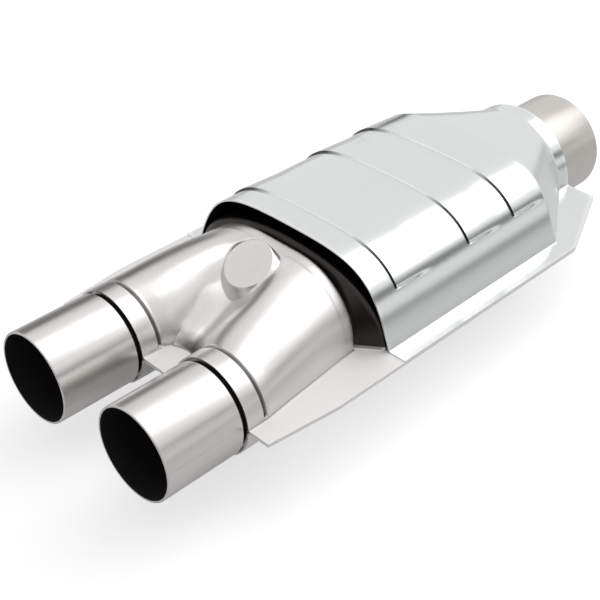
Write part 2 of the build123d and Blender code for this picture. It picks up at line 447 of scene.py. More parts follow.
def can_stations(half, sizes):
    """Sections of the body: distance, outer foot, crest, height, fullness of side and top, inner foot."""
    collar = INLET_RADIUS + sizes.sheet
    outlet = OUTLET_RADIUS + sizes.sheet
    full = BRANCH_FULLNESS
    end, top = CHAMBER_ENDS[half], CHAMBER_TOPS[half]
    front = (
        (COLLAR_FRONT, INLET_OFFSET + collar, INLET_OFFSET, collar, full, full, INLET_OFFSET - collar),
        (COLLAR_END, INLET_OFFSET + collar, INLET_OFFSET, collar, full, full, INLET_OFFSET - collar),
        (*mm(70, 63.8, 35.6, 28.3), full, full, 7.5 * MM),
        (*mm(80, 62.8, 33.0, 30.9), full, full, 6.2 * MM),
    )
    if half == "upper":
        chamber = (
            (*mm(98, 61.0, 27.6, 34.3), full, full, 5.4 * MM),
            (*mm(110, 59.6, 24.2, 36.5), 0.47, 0.54, -0.5 * MM),
            (*mm(119, 58.5, 20.0, 37.5), 0.46, 0.57, -9.3 * MM),
            (end, 57.8 * MM, 14.0 * MM, top, 0.45, 0.66, -40.0 * MM),
            (end + NECK_STEP, 55.5 * MM, 0.0, 29.0 * MM, 0.60, 0.80, 0.0),
        )
    else:
        chamber = (
            (*mm(98, 61.0, 28.1, 35.7), full, full, 5.6 * MM),
            (*mm(110, 59.6, 26.5, 38.9), 0.61, 0.67, 1.8 * MM),
            (*mm(119, 58.4, 21.0, 41.4), 0.66, 0.78, -5.3 * MM),
            (end, 57.5 * MM, 6.0 * MM, top, 0.70, 0.885, -48.0 * MM),
            (end + NECK_STEP, 55.5 * MM, 0.0, 31.0 * MM, 0.70, 0.885, 0.0),
        )
    rear = (
        (POCKET_START, 69.5 * MM, 0.0, 37.5 * MM, 0.56, 0.66, 0.0),
        (POCKET_END, 69.5 * MM, 0.0, 37.5 * MM, 0.56, 0.66, 0.0),
        (CONE_END, outlet, 0.0, outlet, full, full, 0.0),
        (CAN_REAR, outlet, 0.0, outlet, full, full, 0.0),
    )
    return front + chamber + rear


def can_distances(half, sizes):
    """Places of the rows along the can, closer together where the form turns."""
    bead = sizes.bead_at
    chamber_end = CHAMBER_ENDS[half]
    spans = (
        (COLLAR_FRONT, bead - 1.6 * MM, 5),
        (bead - 1.4 * MM, bead + 1.4 * MM, 14),
        (bead + 1.7 * MM, 70 * MM, 24),
        (71 * MM, chamber_end - 1.2 * MM, 56),
        (chamber_end - 0.8 * MM, chamber_end + 0.8 * MM, 7),
        (chamber_end + 1.6 * MM, POCKET_START - 1 * MM, 6),
        (POCKET_START, POCKET_START + 4 * MM, 3),
        (POCKET_START + 20 * MM, POCKET_END - 20 * MM, 5),
        (POCKET_END - 3 * MM, POCKET_END + 3 * MM, 5),
        (POCKET_END + 6 * MM, CONE_END - 6 * MM, 8),
        (CONE_END - 3 * MM, CONE_END + 3 * MM, 5),
        (CONE_END + 6 * MM, CAN_REAR, 4),
    )
    return np.concatenate([np.linspace(*span) for span in spans])


def saddle_path(half, distance, crest, height, inner, sizes):
    """Path from the middle of the can over web and trough, up the inner side of a branch to its crest."""
    full = BRANCH_FULLNESS
    wall = curve(
        (crest, height), (crest + full * (inner - crest), height), (inner, full * height), (inner, 0)
    )
    kept, fillet = root_fillet(wall, sizes.sheet, sizes.root_radius, -1)
    branch = np.vstack((fillet[::-1], kept[::-1]))
    across = np.union1d(np.linspace(0, crest, SADDLE_POINTS), branch[branch[:, 0] > 0, 0])
    risen = np.interp(across, branch[:, 0], branch[:, 1])
    risen[across < branch[0, 0]] = sizes.sheet
    middle, rise, edge = rounded(TROUGHS[half], distance, np.interp(distance, *TROUGH_ROUNDING))
    sides = np.hypot(np.minimum(across, edge + TROUGH_EDGE_RUN) * TROUGH_SLOPE, TROUGH_BOTTOM)
    full_rise = math.hypot(edge * TROUGH_SLOPE, TROUGH_BOTTOM) - TROUGH_BOTTOM
    trough = middle + (sides - TROUGH_BOTTOM) * rise / full_rise
    blend = np.interp(distance, *SADDLE_BLEND)
    near = np.maximum(blend - np.abs(risen - trough), 0) / blend
    near = near * smooth_step((crest - across) / CREST_FADE)
    heights = np.minimum(np.maximum(risen, trough), height) + near * near * blend / 4
    return np.column_stack((across, heights))


def corner_rounding(half, distance):
    """Reach over which the body's corners are rounded at this distance."""
    before_end = CHAMBER_ENDS[half] - distance
    if before_end > 0:
        grown = max((distance - COLLAR_END) * ROUNDING_GROWTH, ROUNDING_LEAST)
        return min(grown, ROUNDING_MOST, before_end + ROUNDING_LEAST)
    return NECK_ROUNDING if distance < POCKET_START else POCKET_ROUNDING


def can_row(half, distance, sizes):
    """Half section of the can's outer skin at this distance, from the middle to the flange's edge."""
    stations = can_stations(half, sizes)
    outer, crest, height, side, top, inner = rounded(stations, distance, corner_rounding(half, distance))
    if distance < CHAMBER_ENDS[half]:
        path = saddle_path(half, distance, crest, height, inner, sizes)
    else:
        path = np.array(((0.0, height),))
        crest = 0.0
    wall = curve(
        (crest, height), (crest + top * (outer - crest), height), (outer, side * height), (outer, 0)
    )
    kept, fillet = root_fillet(wall, sizes.sheet, sizes.root_radius, 1)
    body = np.vstack((path, kept[1:], fillet[:1]))
    body = press_bead(spread(body, sizes.columns), distance, sizes)
    row = np.vstack((body, fillet[1:], flange_points(fillet[-1, 0], sizes.sheet, distance)))
    row[0, 0] = 0.0
    return row


def lean_edge(half, rows, distances):
    """Distance of every point, with the chamber's rear edge leaning back from its foot to its top."""
    places = np.repeat(np.array(distances)[:, None], len(rows[0]), axis=1)
    end = CHAMBER_ENDS[half]
    ahead = smooth_step(1 - (end - places) / LEAN_RUN)
    behind = smooth_step((POCKET_START - places) / (POCKET_START - end))
    heights = np.array(rows)[:, :, 1]
    short = 1 - np.clip(heights / heights.max(axis=1)[:, None], 0, 1)
    return places - EDGE_LEANS[half] * short * np.minimum(ahead, behind)


BEAD_SOFTNESS = 0.7
BEAD_RUN_OUT = 1.5 * MM


def press_bead(body, distance, sizes):
    """Presses the stop bead in, towards the inlet's axis."""
    away = abs(distance - sizes.bead_at) / (sizes.bead_width / 2)
    depth = sizes.bead_depth * smooth_step((1 - away) / BEAD_SOFTNESS + 0.5)
    if depth <= 0:
        return body
    outwards = body - np.array((INLET_OFFSET, 0.0))
    radius = np.linalg.norm(outwards, axis=1)[:, None]
    on_collar = smooth_step((body[:, 1] - sizes.sheet) / BEAD_RUN_OUT)[:, None]
    return body - outwards / radius * depth * on_collar


def thicken(piece, sheet):
    """Gives the pressed skin its sheet on the inner side, which takes the second material, the painted shade.
    """
    apply_modifier(
        piece,
        "SOLIDIFY",
        "sheet",
        thickness=sheet,
        offset=-1,
        use_even_offset=False,
        use_quality_normals=True,
        material_offset=1,
        material_offset_rim=0,
    )


# Round pad in the saddle: its middle, the hole that its rings fill, and its wall with the rounded rim

PAD_AT = 109.3 * MM
PAD_HEIGHT = 34.6 * MM
PAD_HOLE_RADIUS = 20.5 * MM
PAD_HOLE_MARGIN = 0.3 * MM
PAD_HOLE_REACH = 4.0 * MM
PAD_RIM_INSET = 0.5 * MM
PAD_RIM_ROUNDING = 0.25
PAD_WALL = 2.1 * MM
PAD_REAR_FLARE = 2.8 * MM
PAD_FLARE_TURN = 0.1


def pad_frame(sizes):
    """The pad's own axes: its face is the plane of the first two, and the third points out of it."""
    tilt = sizes.pad_tilt
    along = Vector((0, math.cos(tilt), math.sin(tilt)))
    out = Vector((0, -math.sin(tilt), math.cos(tilt)))
    middle = Vector((0, MOUTHS + PAD_AT, FLANGE + PAD_HEIGHT))
    turn = Matrix((Vector((1, 0, 0)), along, out)).transposed().to_4x4()
    return Matrix.Translation(middle) @ turn


def pad_rings(sizes):
    """Radii of the pad's rings of points from the hole inwards, closer together where the form turns."""
    spans = (
        (5.0 * MM, sizes.pad_radius - 1.6 * MM, 5),
        (sizes.pad_radius - 1.1 * MM, sizes.pad_radius + 1.7 * MM, 24),
        (sizes.pad_radius + 2.0 * MM, PAD_HOLE_RADIUS - 0.5 * MM, 11),
    )
    return np.concatenate([np.linspace(*span) for span in spans])[::-1]


def pad_share(angle, radius, sizes):
    """How much of the pad's height is left here: 1 on its face, 0 at the foot of its wall."""
    wall = PAD_WALL + PAD_REAR_FLARE * smooth_step(math.sin(angle) + PAD_FLARE_TURN)
    down = min(max((radius - sizes.pad_radius + PAD_RIM_INSET) / wall, 0), 1)
    half_rim = PAD_RIM_ROUNDING / 2
    if down < PAD_RIM_ROUNDING:
        return 1 - down**2 / (2 * PAD_RIM_ROUNDING * (1 - half_rim))
    return 1 - (down - half_rim) / (1 - half_rim)


def press_pad(skin, sizes):
    """Opens a round hole in the skin and fills it with rings of faces pressed to the pad's form."""
    tree = BVHTree.FromObject(skin, bpy.context.evaluated_depsgraph_get())
    to_can = pad_frame(sizes)

    def spot(point):
        """Place of a point in the pad's face when it is seen straight from above."""
        return Vector((point.x, (point.y - MOUTHS - PAD_AT) / math.cos(sizes.pad_tilt)))

    def pressed(angle, radius):
        """Point on the pressed form at this angle and radius, with the pad's wall drawn straight down."""
        face = to_can @ Vector((radius * math.cos(angle), radius * math.sin(angle), 0))
        skin_height = tree.ray_cast(Vector((face.x, face.y, 1.0)), Vector((0, 0, -1)))[0].z
        face.z = skin_height + (face.z - skin_height) * pad_share(angle, radius, sizes)
        return face

    pick(skin)
    bpy.ops.object.mode_set(mode="EDIT")
    bpy.ops.mesh.select_mode(type="FACE")
    bpy.ops.mesh.select_all(action="DESELECT")
    mesh = bmesh.from_edit_mesh(skin.data)
    for face in mesh.faces:
        nearest = min(spot(vertex.co).length for vertex in face.verts)
        face.select = nearest < PAD_HOLE_RADIUS + PAD_HOLE_MARGIN
    bmesh.update_edit_mesh(skin.data)
    bpy.ops.mesh.delete(type="FACE")
    mesh = bmesh.from_edit_mesh(skin.data)
    edges = [
        edge
        for edge in mesh.edges
        if edge.is_boundary
        and all(spot(vertex.co).length < PAD_HOLE_RADIUS + PAD_HOLE_REACH for vertex in edge.verts)
    ]
    loop = ordered_loop(edges)
    angles = np.unwrap([math.atan2(place.y, place.x) for place in (spot(v.co) for v in loop)])
    turn = math.copysign(2 * math.pi, angles[-1] - angles[0])
    for _ in range(4):
        ahead = np.append(angles[1:], angles[0] + turn)
        behind = np.insert(angles[:-1], 0, angles[-1] - turn)
        angles = 0.5 * angles + 0.25 * (ahead + behind)
    for vertex, angle in zip(loop, angles):
        vertex.co = pressed(angle, PAD_HOLE_RADIUS)
    bpy.ops.mesh.select_mode(type="EDGE")
    bpy.ops.mesh.select_all(action="DESELECT")
    for edge in edges:
        edge.select = True
    bmesh.update_edit_mesh(skin.data)
    for radius in pad_rings(sizes):
        bpy.ops.mesh.extrude_edges_move()
        mesh = bmesh.from_edit_mesh(skin.data)
        chosen = [edge for edge in mesh.edges if edge.select]
        for vertex in {v for edge in chosen for v in edge.verts}:
            now = spot(vertex.co)
            nearest = np.argmin(np.abs(np.exp(1j * angles) - np.exp(1j * math.atan2(now.y, now.x))))
            vertex.co = pressed(angles[nearest], radius)
        bmesh.update_edit_mesh(skin.data)
    bpy.ops.mesh.edge_face_add()
    bpy.ops.object.mode_set(mode="OBJECT")


def ordered_loop(edges):
    """The vertices of a closed loop of edges, in order along it."""
    loop = [edges[0].verts[0], edges[0].verts[1]]
    unused = set(edges[1:])
    while len(loop) < len(edges):
        following = next(edge for edge in loop[-1].link_edges if edge in unused)
        unused.remove(following)
        loop.append(following.other_vert(loop[-1]))
    return loop


def press_can_skin(half, sizes):
    """Outer skin of one half of the can, pressed upwards."""
    distances = can_distances(half, sizes)
    rows = [can_row(half, distance, sizes) for distance in distances]
    return press_blank(f"can_{half}", rows, lean_edge(half, rows, distances))


def face_outwards(piece, up):
    """Turns the skin's faces so that the ones in the middle look up, or down."""
    pick(piece)
    bpy.ops.object.mode_set(mode="EDIT")
    bpy.ops.mesh.select_all(action="SELECT")
    bpy.ops.mesh.normals_make_consistent(inside=False)
    bpy.ops.object.mode_set(mode="OBJECT")
    total = sum(face.normal.z * face.area for face in piece.data.polygons)
    if (total > 0) != up:
        bpy.ops.object.mode_set(mode="EDIT")
        bpy.ops.mesh.select_all(action="SELECT")
        bpy.ops.mesh.flip_normals()
        bpy.ops.object.mode_set(mode="OBJECT")


class CONVERTER_OT_press_can(bpy.types.Operator):
    """Press the two halves of the can, with the round pad in the upper one"""

    bl_idname = "converter.press_can"
    bl_label = "Press Can"

    def execute(self, context):
        sizes = context.scene.converter_can
        colours = context.scene.converter_finishes
        for half in ("upper", "lower"):
            skin = press_can_skin(half, sizes)
            if half == "upper":
                press_pad(skin, sizes)
            else:
                skin.data.transform(Matrix.Translation((0, 0, 2 * FLANGE)) @ Matrix.Diagonal((1, 1, -1, 1)))
            face_outwards(skin, up=half == "upper")
            skin.data.materials.append(can_steel(colours))
            skin.data.materials.append(painted_shade_steel(colours))
            thicken(skin, sizes.sheet)
            smooth_by_angle(skin)
            stand_for(skin, f"{half}_shell")
        return {"FINISHED"}


# Heat shield

SHIELD_SIDE_FULLNESS = 0.93
SHIELD_TOP_FULLNESS = 0.655
SHIELD_TAPER_START = 280.0 * MM
SHIELD_COLLAR_START = 328.0 * MM
SHIELD_ROUNDING = 1.2 * MM
RIB_PLACES = (154.0 * MM, 212.0 * MM, 251.0 * MM)
RIB_STEP = 0.26 * MM
RIB_CLEARANCE = 0.9 * MM
RIB_FOOT_FADE = 0.9 * MM


def shield_distances():
    """Places of the rows along the shield, closer together at the ribs and folds."""
    near = np.array((-0.9, -0.3, -0.14, 0.0, 0.14, 0.3, 0.9)) * MM
    fine = [place + near for place in RIB_PLACES]
    turns = [
        np.linspace(SHIELD_TAPER_START - 2 * MM, SHIELD_TAPER_START + 2 * MM, 7),
        np.linspace(SHIELD_COLLAR_START - 3 * MM, SHIELD_COLLAR_START + 3 * MM, 9),
    ]
    even = np.linspace(SHIELD_FRONT, CAN_REAR, 74)
    close = np.concatenate(fine + turns)
    clear = [place for place in even if np.abs(close - place).min() > RIB_CLEARANCE]
    return np.sort(np.concatenate((clear, close)))


def shield_dome(distance, sizes):
    """Half section of the dome, from its top to its foot."""
    width, height = sizes.half_width, sizes.height
    dome = curve(
        (0, height),
        (SHIELD_TOP_FULLNESS * width, height),
        (width - sizes.foot_lean, SHIELD_SIDE_FULLNESS * height),
        (width, 0),
    )
    angle = np.linspace(math.pi / 2, 0, CURVE_POINTS)
    collar = sizes.collar_radius * np.column_stack((np.cos(angle), np.sin(angle)))
    stations = ((SHIELD_FRONT, 0), (SHIELD_TAPER_START, 0), (SHIELD_COLLAR_START, 1), (CAN_REAR, 1))
    share = rounded(stations, distance, SHIELD_ROUNDING)[0]
    return dome * (1 - share) + collar * share


def rib_rise(distance, sizes):
    """How far the ribs stand out of the dome at this distance."""
    rise = 0.0
    for place in RIB_PLACES:
        past = distance - place
        step = smooth_step(past / RIB_STEP + 0.5)
        run_out = np.clip(1 - past / sizes.rib_run, 0, 1)
        rise = max(rise, sizes.rib_rise * step * run_out)
    return rise


def shield_row(distance, sizes):
    """Half section of the shield's outer skin at this distance, from the middle to the flange's edge."""
    level = sizes.sheet + bpy.context.scene.converter_can.sheet
    kept, fillet = root_fillet(shield_dome(distance, sizes), level, sizes.root_radius, 1)
    dome = spread(np.vstack((kept, fillet[:1])), sizes.columns)
    slope = np.gradient(dome, axis=0)
    normal = np.column_stack((-slope[:, 1], slope[:, 0]))
    normal /= np.linalg.norm(normal, axis=1)[:, None]
    above = smooth_step((dome[:, 1] - sizes.rib_foot) / RIB_FOOT_FADE + 0.5)[:, None]
    dome = dome + normal * rib_rise(distance, sizes) * above
    row = np.vstack((dome, fillet[1:], flange_points(fillet[-1, 0], level, distance)))
    row[0, 0] = 0.0
    return row


class CONVERTER_OT_press_shield(bpy.types.Operator):
    """Press the ribbed heat shield"""

    bl_idname = "converter.press_shield"
    bl_label = "Press Heat Shield"

    def execute(self, context):
        sizes = context.scene.converter_shield
        colours = context.scene.converter_finishes
        distances = shield_distances()
        rows = [shield_row(distance, sizes) for distance in distances]
        shield = press_blank("shield_sheet", rows, distances)
        face_outwards(shield, up=True)
        shield.data.materials.append(shield_steel(colours))
        shield.data.materials.append(painted_shade_steel(colours))
        thicken(shield, sizes.sheet)
        smooth_by_angle(shield, 30)
        stand_for(shield, "heat_shield")
        return {"FINISHED"}


# Pipes: radius, length, how far the stub stands out of its collar, place across, mouth, and way inwards

OUTLET_LENGTH = OUTLET_MOUTH - OUTLET_START
OUTLET_STICK_OUT = OUTLET_MOUTH - CAN_REAR
STUBS = {
    "inlet_pipe_right": (INLET_RADIUS, INLET_LENGTH, COLLAR_FRONT, INLET_OFFSET, 0.0, 1),
    "inlet_pipe_left": (INLET_RADIUS, INLET_LENGTH, COLLAR_FRONT, -INLET_OFFSET, 0.0, 1),
    "outlet_pipe": (OUTLET_RADIUS, OUTLET_LENGTH, OUTLET_STICK_OUT, 0.0, OUTLET_MOUTH, -1),
}


def pipe_profile(radius, length, stick_out, sizes):
    """Outline of the pipe's wall: distance from its mouth and radius, round the wall once."""
    start = stick_out - sizes.groove_reveal
    end = start + sizes.groove_width
    flank = sizes.groove_flank
    depth = sizes.groove_depth
    turn = np.linspace(0, math.pi / 2, 5)
    lip = [(sizes.lip * (1 - math.sin(a)), sizes.lip * (1 - math.cos(a))) for a in turn]
    stations = [(start - flank, 0), (start, depth), (end, depth), (end + flank, 0), (length, 0)]
    outside = [(place, radius - drop) for place, drop in lip[::-1]] + [(p, radius - d) for p, d in stations]
    inner = radius - sizes.wall
    inside = [(p, inner - d) for p, d in reversed(stations)] + [(place, inner + drop) for place, drop in lip]
    return outside + inside


def make_pipe(name, radius, length, stick_out, axis_x, mouth, inward, materials, sizes):
    """Pipe spun round its axis, from its mouth inwards."""
    profile = pipe_profile(radius, length, stick_out, sizes)
    clear_selection()
    bpy.ops.mesh.primitive_circle_add(vertices=len(profile), radius=1, fill_type="NOTHING")
    pipe = bpy.context.active_object
    pipe.name = pipe.data.name = name
    for vertex, (place, ring) in zip(pipe.data.vertices, profile):
        vertex.co = (axis_x + ring, MOUTHS + mouth + inward * place, FLANGE)
    bpy.ops.object.mode_set(mode="EDIT")
    bpy.ops.mesh.select_all(action="SELECT")
    bpy.ops.mesh.spin(
        steps=sizes.steps, angle=2 * math.pi, center=(axis_x, 0, FLANGE), axis=(0, 1, 0)
    )
    bpy.ops.mesh.select_all(action="SELECT")
    bpy.ops.mesh.remove_doubles(threshold=0.005 * MM)
    bpy.ops.mesh.normals_make_consistent(inside=False)
    bpy.ops.object.mode_set(mode="OBJECT")
    for material in materials:
        pipe.data.materials.append(material)
    # Faces inside the pipe and on the floor of its ring groove take the second material, painted shade
    middle = radius - sizes.wall / 2
    for face in pipe.data.polygons:
        away = math.hypot(face.center.x - axis_x, face.center.z - FLANGE)
        outwards = (face.center.x - axis_x) * face.normal.x + (face.center.z - FLANGE) * face.normal.z
        face.material_index = 1 if away < middle and outwards < 0 else 0
        if away < radius - 0.8 * sizes.groove_depth and outwards > 0:
            face.material_index = 1
    smooth_by_angle(pipe, 40)
    return pipe


class CONVERTER_OT_spin_pipes(bpy.types.Operator):
    """Spin the two inlet pipes and the outlet pipe"""

    bl_idname = "converter.spin_pipes"
    bl_label = "Spin Pipes"

    def execute(self, context):
        sizes = context.scene.converter_pipes
        colours = context.scene.converter_finishes
        materials = (pipe_steel(colours), painted_shade_steel(colours))
        for node, places in STUBS.items():
            pipe = make_pipe(f"{node}_tube", *places, materials, sizes)
            stand_for(pipe, node)
        return {"FINISHED"}


# Finishes


def feed(node, values):
    """Sets a node's inputs to these values, or links them where a value comes from another node."""
    for key, value in values.items():
        if isinstance(value, bpy.types.NodeSocket):
            node.id_data.links.new(value, node.inputs[key])
        else:
            node.inputs[key].default_value = value


def node_adder(tree):
    """Function that adds a shader node of some kind to this tree, sets it up and feeds its inputs."""

    def add(kind, inputs=(), **settings):
        node = tree.nodes.new("ShaderNode" + kind)
        for key, value in settings.items():
            setattr(node, key, value)
        feed(node, dict(inputs))
        return node

    return add


def new_material(name):
    """Material with its shader, and a function that adds a node to it."""
    material = bpy.data.materials.get(name)
    if material:
        return material, None, None
    material = bpy.data.materials.new(name)
    material.use_nodes = True
    return material, material.node_tree.nodes["Principled BSDF"], node_adder(material.node_tree)


def blend_colours(add, factor, first, second, kind="MIX"):
    """Colour that goes from the first to the second as the factor rises."""
    ends = [end if isinstance(end, bpy.types.NodeSocket) else (*end[:3], 1) for end in (first, second)]
    inputs = {0: factor, 6: ends[0], 7: ends[1]}
    return add("Mix", inputs, data_type="RGBA", blend_type=kind).outputs[2]


def scaled(colour, share):
    """The colour made darker or lighter by this share."""
    return tuple(share * part for part in colour)


def maths(add, operation, first, second=None, clamped=False):
    """Result of one sum on one or two values."""
    values = {0: first} if second is None else {0: first, 1: second}
    return add("Math", values, operation=operation, use_clamp=clamped).outputs[0]


def remap(add, value, low, high, to_low, to_high):
    """The value moved from one range to another, and kept inside it."""
    ranges = {"Value": value, "From Min": low, "From Max": high, "To Min": to_low, "To Max": to_high}
    return add("MapRange", ranges).outputs[0]


def object_places(add):
    """Places on the piece, in the shared frame."""
    return add("TexCoord").outputs["Object"]


def object_axes(add):
    """The same places as three numbers: across, along and up."""
    return add("SeparateXYZ", {0: object_places(add)}).outputs


def noise(add, places, scale, detail, roughness=0.5):
    """Noise at these places."""
    inputs = {"Vector": places, "Scale": scale, "Detail": detail, "Roughness": roughness}
    return add("TexNoise", inputs).outputs[0]


def streaks(add, across, along, detail=6.0):
    """Noise drawn out along the flow, as rolling and brushing leave it."""
    stretched = add("Mapping", {"Vector": object_places(add), "Scale": (across, along, across)})
    return noise(add, stretched.outputs[0], 1.0, detail, 0.6)


def raised(add, height, strength, distance):
    """Normal of a surface with this relief."""
    inputs = {"Height": height, "Strength": strength, "Distance": distance}
    return add("Bump", inputs).outputs[0]


# Colours for sharp edges, partly wear and partly painted highlight, and for creases, painted shade
WORN_AND_LIT_EDGE = (0.90, 0.90, 0.90)
CREASE_SHADE = (0.05, 0.047, 0.044)


def metal(name, colour, roughness, streak_depth, bump, wear_and_highlight=0.3):
    """Rolled steel sheet or tube: streaks along the flow, faint blotches, sharp edges lightened partly by wear
    and partly by a painted highlight, and painted shade in creases.
    """
    material, shader, add = new_material(name)
    if shader is None:
        return material, None, None, None
    fine = streaks(add, 700.0, 9.0)
    broad = streaks(add, 90.0, 3.0, 3.0)
    shade = remap(add, fine, 0.3, 0.7, 1.0 - streak_depth, 1.0 + streak_depth * 0.6)
    wide = remap(add, broad, 0.3, 0.7, 1.0 - 0.8 * streak_depth, 1.0 + 0.5 * streak_depth)
    both = maths(add, "MULTIPLY", shade, wide)
    grey = add("CombineColor", {0: both, 1: both, 2: both}).outputs[0]
    base = blend_colours(add, 1.0, colour, grey, "MULTIPLY")
    sharpness = add("NewGeometry").outputs["Pointiness"]
    # Pointiness above a half lightens sharp edges: partly wear, partly a painted highlight
    base = blend_colours(add, remap(add, sharpness, 0.54, 0.62, 0.0, wear_and_highlight), base, WORN_AND_LIT_EDGE)
    # Pointiness below a half darkens creases: painted shade
    base = blend_colours(add, remap(add, sharpness, 0.42, 0.487, 0.8, 0.0), base, CREASE_SHADE)
    mixed = maths(add, "ADD", fine, noise(add, object_places(add), 28.0, 4.0))
    rough = remap(add, mixed, 0.7, 1.3, roughness - streak_depth, roughness + streak_depth)
    relief = raised(add, fine, bump, 0.05 * MM)
    feed(shader, {"Base Color": base, "Roughness": rough, "Normal": relief, "Metallic": 1.0})
    return material, shader, add, base


# Painted shade in the stop beads: its half width, its fade, the depths over which it sets in, and its colour
BEAD_LINE_HALF_WIDTH = 0.7 * MM
BEAD_LINE_FADE = 0.3 * MM
BEAD_LINE_DEPTHS = (0.5 * MM, 1.1 * MM)
BEAD_SHADE = (0.16, 0.155, 0.15)


def bead_shade(add, places):
    """1 in the bottom of the stop beads on the two collars, where shade is painted, and 0 elsewhere."""
    sizes = bpy.context.scene.converter_can
    along = maths(add, "ABSOLUTE", maths(add, "SUBTRACT", places[1], MOUTHS + sizes.bead_at))
    side = maths(add, "SUBTRACT", maths(add, "ABSOLUTE", places[0]), INLET_OFFSET)
    arm = add("CombineXYZ", {0: side, 1: maths(add, "SUBTRACT", places[2], FLANGE)}).outputs[0]
    radius = add("VectorMath", {0: arm}, operation="LENGTH").outputs["Value"]
    shallow, deep = (INLET_RADIUS + sizes.sheet - depth for depth in BEAD_LINE_DEPTHS)
    sunk = remap(add, radius, shallow, deep, 0, 1)
    near = remap(add, along, BEAD_LINE_HALF_WIDTH, BEAD_LINE_HALF_WIDTH + BEAD_LINE_FADE, 1, 0)
    return maths(add, "MULTIPLY", sunk, near)


# Marks on the can: painted shade on its wall under the shield, the flange's duller face, painted shade along
# the line at its root, and painted shade round the crotch
# Painted shade under the shield: how much the near-black colour is lifted there, and up to what height its
# edge leans
SHADE_LIFT = 8
SHADE_EDGE_TOP = 38 * MM
FLANGE_FACE = (FLANGE + 1.02 * MM, FLANGE + 1.1 * MM)
FLANGE_DULL = (0.84, 0.83, 0.82)
FLANGE_EXTRA_ROUGHNESS = 0.3
FLANGE_METALLIC = 0.35
ROOT_LINE = (FLANGE + 1.5 * MM, FLANGE + 1.8 * MM)
ROOT_SHADE = (0.10, 0.10, 0.10)
CROTCH_SHADE_PLACE = (0, MOUTHS + CROTCH_AT, FLANGE + 3.0 * MM)
CROTCH_SHADE_RADII = (3.0 * MM, 10.0 * MM)
CROTCH_SHADE = (0.08, 0.07, 0.07)


def painted_shade_behind_edge(add, places):
    """1 behind the chamber's leaning edge and above the flange, where shade under the shield is painted, and 0
    elsewhere.
    """
    edge_at = MOUTHS + CHAMBER_ENDS["upper"]
    foot_at = edge_at - EDGE_LEANS["upper"]
    edge = remap(add, places[2], FLANGE, FLANGE + SHADE_EDGE_TOP, foot_at, edge_at)
    behind = remap(add, maths(add, "SUBTRACT", places[1], edge), 0.1 * MM, 0.5 * MM, 0, 1)
    above = remap(add, places[2], FLANGE + 1.6 * MM, FLANGE + 3.0 * MM, 0, 1)
    return maths(add, "MULTIPLY", behind, above)


def crotch_shade(add, places):
    """Share of painted shade round the crotch between the branches, on what stands above the flange."""
    spots = {0: object_places(add), 1: CROTCH_SHADE_PLACE}
    away = add("VectorMath", spots, operation="DISTANCE").outputs["Value"]
    close = remap(add, away, *CROTCH_SHADE_RADII, 0.85, 0.0)
    above = remap(add, places[2], FLANGE + 1.2 * MM, FLANGE + 2.0 * MM, 0, 1)
    return maths(add, "MULTIPLY", close, above)


def can_steel(colours):
    """Pressed stainless sheet, with painted shade behind the chamber on its upper side, along the flange's
    root, round the crotch and in the stop beads.
    """
    material, shader, add, base = metal("pressed_stainless", colours.can, 0.33, 0.035, 0.03)
    if shader is None:
        return material
    places = object_axes(add)
    # The can's wall behind the chamber's edge, under the shield, takes a painted shade: the near-black colour
    # lifted a little
    tone = blend_colours(add, painted_shade_behind_edge(add, places), base, scaled(colours.painted_shade, SHADE_LIFT))
    dull = remap(add, places[2], *FLANGE_FACE, 1, 0)
    tone = blend_colours(add, dull, tone, FLANGE_DULL)
    # A thin band just above the flange, at the root of the body, painted darker: painted shade in the crease
    root = maths(add, "SUBTRACT", remap(add, places[2], *ROOT_LINE, 0.55, 0), dull, clamped=True)
    tone = blend_colours(add, root, tone, ROOT_SHADE)
    # Painted shade round the crotch between the branches
    tone = blend_colours(add, crotch_shade(add, places), tone, CROTCH_SHADE)
    # Painted shade in the bottom of the stop beads
    tone = blend_colours(add, bead_shade(add, places), tone, BEAD_SHADE)
    rolled = shader.inputs["Roughness"].links[0].from_socket
    rough = maths(add, "ADD", rolled, remap(add, dull, 0, 1, 0.0, FLANGE_EXTRA_ROUGHNESS))
    metallic = remap(add, dull, 0, 1, 1.0, FLANGE_METALLIC)
    feed(shader, {"Base Color": tone, "Roughness": rough, "Metallic": metallic})
    return material


def pipe_steel(colours):
    """Brushed stainless tube, browned a little by heat towards the outlet."""
    material, shader, add, base = metal("brushed_stainless", colours.pipe, 0.31, 0.06, 0.06)
    if shader is None:
        return material
    heated = remap(add, object_axes(add)[1], MOUTHS + INLET_LENGTH, MOUTHS + OUTLET_START, 0, 1)
    tint = blend_colours(add, heated, (1, 1, 1), (0.84, 0.82, 0.80))
    feed(shader, {"Base Color": blend_colours(add, 1.0, base, tint, "MULTIPLY")})
    return material


# Painted steps of the ribs: where they fade out along the can, and where their light top turns into
# the shaded shoulder
RIB_LINE = (0.14 * MM, 0.2 * MM)
RIB_SHOULDER = (30.0 * MM, 44.0 * MM)
RIB_TONES = (0.95, 0.10)


